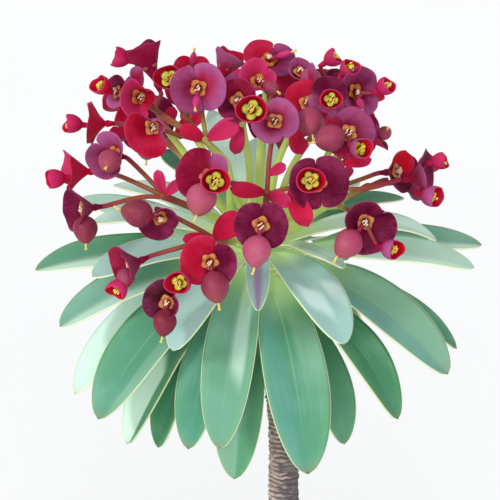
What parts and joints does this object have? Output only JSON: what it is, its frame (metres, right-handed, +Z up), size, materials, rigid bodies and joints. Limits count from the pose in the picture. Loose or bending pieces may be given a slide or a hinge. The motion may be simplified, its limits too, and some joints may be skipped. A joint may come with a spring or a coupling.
{
  "type": "potted plant",
  "caption": "Potted tree spurge with one scarred woody stem, a rosette of blue-green leaves and an umbel of dark crimson bracts on branching stalks.",
  "frame": {"origin": "middle of the pot's flat underside", "axes": "+Z up, out of the pot and along the stem; -Y towards the viewer of the picture, +X to their right"},
  "size_m": [0.1806, 0.173, 0.3345],
  "materials": {
    "terracotta": "matt fired clay, unglazed",
    "soil": "dark gritty potting soil",
    "bark": "grey-brown, close leaf scars",
    "leaf": "waxy blue-green with a pale margin",
    "bloom": "satin dark crimson bracts with an orange centre"
  },
  "bodies": {
    "root": {"pot": "terracotta", "soil": "soil", "trunk": "bark", "leaf_front_long": "leaf", "leaf_front_young": "leaf", "leaf_front_left": "leaf", "leaf_front_low": "leaf", "leaf_front_teal": "leaf", "leaf_front_olive": "leaf", "leaf_left_young": "leaf", "leaf_left_hanging": "leaf", "leaf_left_broad": "leaf", "leaf_left_pale": "leaf", "leaf_left_long": "leaf", "leaf_left_short": "leaf", "leaf_left_level": "leaf", "leaf_right_glossy": "leaf", "leaf_right_small": "leaf", "leaf_right_broad": "leaf", "leaf_right_behind": "leaf", "leaf_right_hanging": "leaf", "leaf_right_low": "leaf", "leaf_right_level": "leaf", "leaf_right_far": "leaf", "leaf_right_pale": "leaf", "leaf_back_left_green": "leaf", "leaf_back_left_blue": "leaf", "leaf_back_left_pale": "leaf", "leaf_back_left_high": "leaf", "leaf_back_high": "leaf", "leaf_back_upright": "leaf", "leaf_back_right_green": "leaf", "leaf_back_right_pale": "leaf", "leaf_back_far_left": "leaf", "leaf_back_far": "leaf", "leaf_back_far_right": "leaf", "leaf_back_low_left": "leaf", "leaf_back_low": "leaf", "leaf_back_low_right": "leaf", "leaf_back_side_left": "leaf", "leaf_back_side_right": "leaf", "spray_left_high": "bloom", "spray_left_top": "bloom", "spray_top_left": "bloom", "spray_left_mid": "bloom", "spray_left_low": "bloom", "spray_front": "bloom", "spray_top": "bloom", "spray_top_mid": "bloom", "spray_top_right": "bloom", "spray_right_high": "bloom", "spray_right_mid": "bloom", "spray_right": "bloom", "spray_right_low": "bloom", "spray_back_left_high": "bloom", "spray_back_left": "bloom", "spray_back": "bloom", "spray_back_right": "bloom", "spray_back_right_high": "bloom", "spray_back_far_right": "bloom"}
  },
  "joints": []
}
